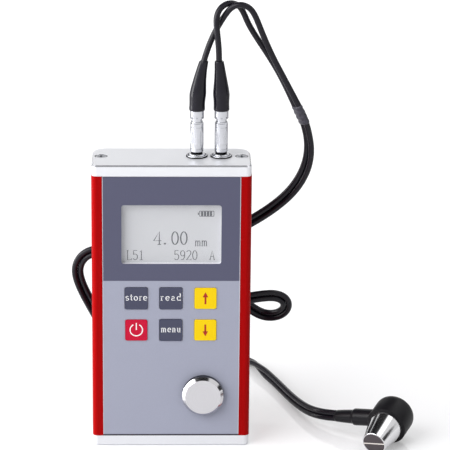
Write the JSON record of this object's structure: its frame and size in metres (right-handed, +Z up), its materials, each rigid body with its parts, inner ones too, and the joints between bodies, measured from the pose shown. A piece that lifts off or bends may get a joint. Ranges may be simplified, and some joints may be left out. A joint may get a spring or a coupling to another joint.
{
  "type": "ultrasonic thickness gauge",
  "caption": "Handheld ultrasonic thickness gauge: slim metal case with red rails, grey display, square keys and a round steel test block, with a two-cable angle probe on a black lead.",
  "frame": {"origin": "centre of the base, on the surface that the gauge stands on", "axes": "+Z up along the case, +Y from the front panel to the back, +X to the right of the front panel"},
  "size_m": [0.1674, 0.1362, 0.2184],
  "materials": {
    "red_paint": "satin paint on aluminium",
    "silver_cap": "bead-blasted, clear anodised",
    "screw_steel": "plain steel",
    "nickel": "bright nickel plate",
    "gold_plate": "gold-plated contact",
    "film": "printed polyester film",
    "circuit_film": "printed circuit film",
    "spacer_film": "adhesive spacer",
    "dark_key": "printed film key",
    "yellow_key": "printed film key",
    "red_key": "printed film key",
    "bezel_plastic": "moulded",
    "clear_pane": "clear acrylic",
    "lcd": "grey liquid crystal display",
    "backlight": "white light guide",
    "steel_block": "ground face, polished rim",
    "board": "green circuit board",
    "chip": "moulded chip",
    "shield_can": "tinned can",
    "black_plastic": "moulded black",
    "cell_jacket": "plain cell jacket",
    "ptfe": "white insulator",
    "rubber": "black rubber",
    "cable_jacket": "black cable jacket",
    "probe_steel": "turned and polished steel",
    "delay_resin": "dark delay block",
    "cork": "pale sound barrier",
    "ceramic": "piezo ceramic",
    "backing_resin": "damping resin"
  },
  "bodies": {
    "gauge": {"case_shell": "red_paint", "top_cap": "silver_cap", "bottom_cap": "silver_cap", "top_screws": "screw_steel", "bottom_screws": "screw_steel", "keypad_circuit": "circuit_film", "keypad_spacer": "spacer_film", "front_overlay": "film", "snap_domes": "screw_steel", "display_bezel": "bezel_plastic", "display_pane": "clear_pane", "lcd_glass": "lcd", "lcd_backlight": "backlight", "test_block": "steel_block", "main_board": "board", "processor_chip": "chip", "pulser_module": "shield_can", "cell_tray": "black_plastic", "cell_left": "cell_jacket", "cell_right": "cell_jacket", "cell_springs": "nickel", "bridge_contact": "nickel", "positive_contact": "nickel", "negative_contact": "nickel", "cell_cover": "black_plastic", "cover_screws": "screw_steel", "socket_left": "nickel", "socket_right": "nickel", "socket_gaskets": "rubber", "socket_nuts": "nickel", "socket_insulators": "ptfe", "socket_pins": "gold_plate", "plug_left_core": "nickel", "plug_left_nut": "nickel", "boot_left": "rubber", "plug_right_core": "nickel", "plug_right_nut": "nickel", "boot_right": "rubber", "lead_left": "cable_jacket", "lead_right": "cable_jacket", "lead_joint": "rubber", "lead_pair": "cable_jacket", "probe_shell": "probe_steel", "delay_upper": "delay_resin", "delay_lower": "delay_resin", "probe_barrier": "cork", "crystals": "ceramic", "probe_backing": "backing_resin", "probe_cap": "black_plastic", "probe_relief": "rubber"},
    "key_store_body": {"key_store": "dark_key"},
    "key_read_body": {"key_read": "dark_key"},
    "key_up_body": {"key_up": "yellow_key"},
    "key_power_body": {"key_power": "red_key"},
    "key_menu_body": {"key_menu": "dark_key"},
    "key_down_body": {"key_down": "yellow_key"},
    "left_release": {"plug_left_sleeve": "nickel"},
    "right_release": {"plug_right_sleeve": "nickel"}
  },
  "joints": [
    {"name": "press_store", "type": "slide", "parent": "gauge", "child": "key_store_body", "axis": [0, 1, 0], "range_m": [0, 0.0003], "stiffness_N_per_m": 400},
    {"name": "press_read", "type": "slide", "parent": "gauge", "child": "key_read_body", "axis": [0, 1, 0], "range_m": [0, 0.0003], "stiffness_N_per_m": 400},
    {"name": "press_up", "type": "slide", "parent": "gauge", "child": "key_up_body", "axis": [0, 1, 0], "range_m": [0, 0.0003], "stiffness_N_per_m": 400},
    {"name": "press_power", "type": "slide", "parent": "gauge", "child": "key_power_body", "axis": [0, 1, 0], "range_m": [0, 0.0003], "stiffness_N_per_m": 400},
    {"name": "press_menu", "type": "slide", "parent": "gauge", "child": "key_menu_body", "axis": [0, 1, 0], "range_m": [0, 0.0003], "stiffness_N_per_m": 400},
    {"name": "press_down", "type": "slide", "parent": "gauge", "child": "key_down_body", "axis": [0, 1, 0], "range_m": [0, 0.0003], "stiffness_N_per_m": 400},
    {"name": "pull_left_release", "type": "slide", "parent": "gauge", "child": "left_release", "axis": [0, 0, 1], "range_m": [0, 0.001], "stiffness_N_per_m": 600},
    {"name": "pull_right_release", "type": "slide", "parent": "gauge", "child": "right_release", "axis": [0, 0, 1], "range_m": [0, 0.001], "stiffness_N_per_m": 600}
  ]
}
